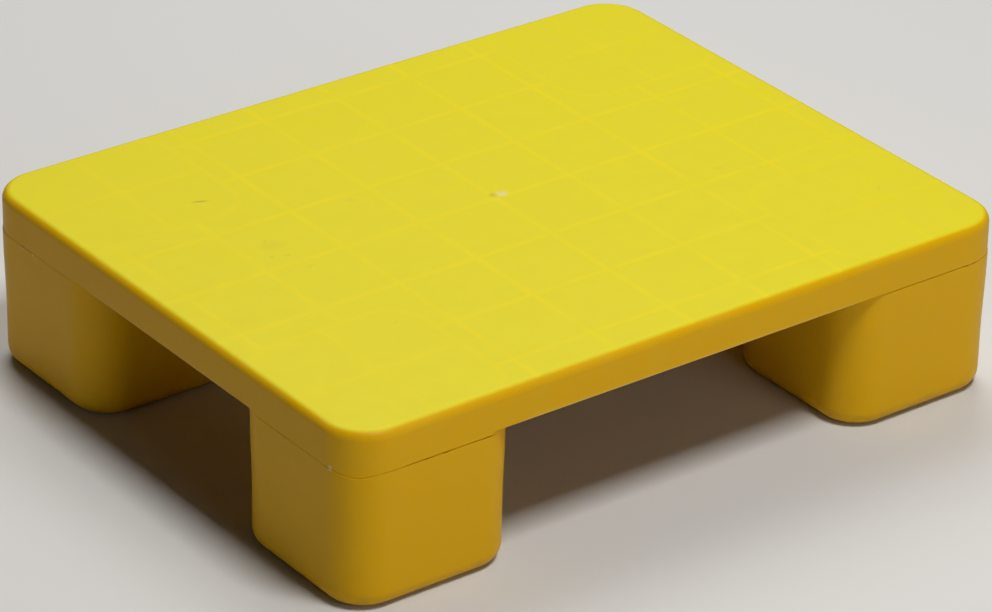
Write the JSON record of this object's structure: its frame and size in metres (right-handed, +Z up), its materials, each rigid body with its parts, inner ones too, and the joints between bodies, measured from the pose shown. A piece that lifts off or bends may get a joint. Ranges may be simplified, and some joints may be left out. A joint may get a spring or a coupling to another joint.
{
  "type": "plastic pallet",
  "caption": "Small moulded plastic platform pallet: a closed flat deck with rolled edges on square block feet at its corners, each held by a screw from below.",
  "frame": {"origin": "on the floor, under the centre of the deck", "axes": "+X along the long side, +Y along the short side towards the rear, +Z up through the deck"},
  "size_m": [0.5, 0.4, 0.12],
  "materials": {
    "deck_plastic": "satin",
    "foot_plastic": "satin",
    "zinc_steel": "zinc plated",
    "brass": "machined"
  },
  "bodies": {
    "root": {"deck": "deck_plastic", "foot_front_left": "foot_plastic", "foot_front_right": "foot_plastic", "foot_rear_left": "foot_plastic", "foot_rear_right": "foot_plastic", "screw_front_left": "zinc_steel", "screw_front_right": "zinc_steel", "screw_rear_left": "zinc_steel", "screw_rear_right": "zinc_steel", "washer_front_left": "zinc_steel", "washer_front_right": "zinc_steel", "washer_rear_left": "zinc_steel", "washer_rear_right": "zinc_steel", "insert_front_left": "brass", "insert_front_right": "brass", "insert_rear_left": "brass", "insert_rear_right": "brass"}
  },
  "joints": []
}
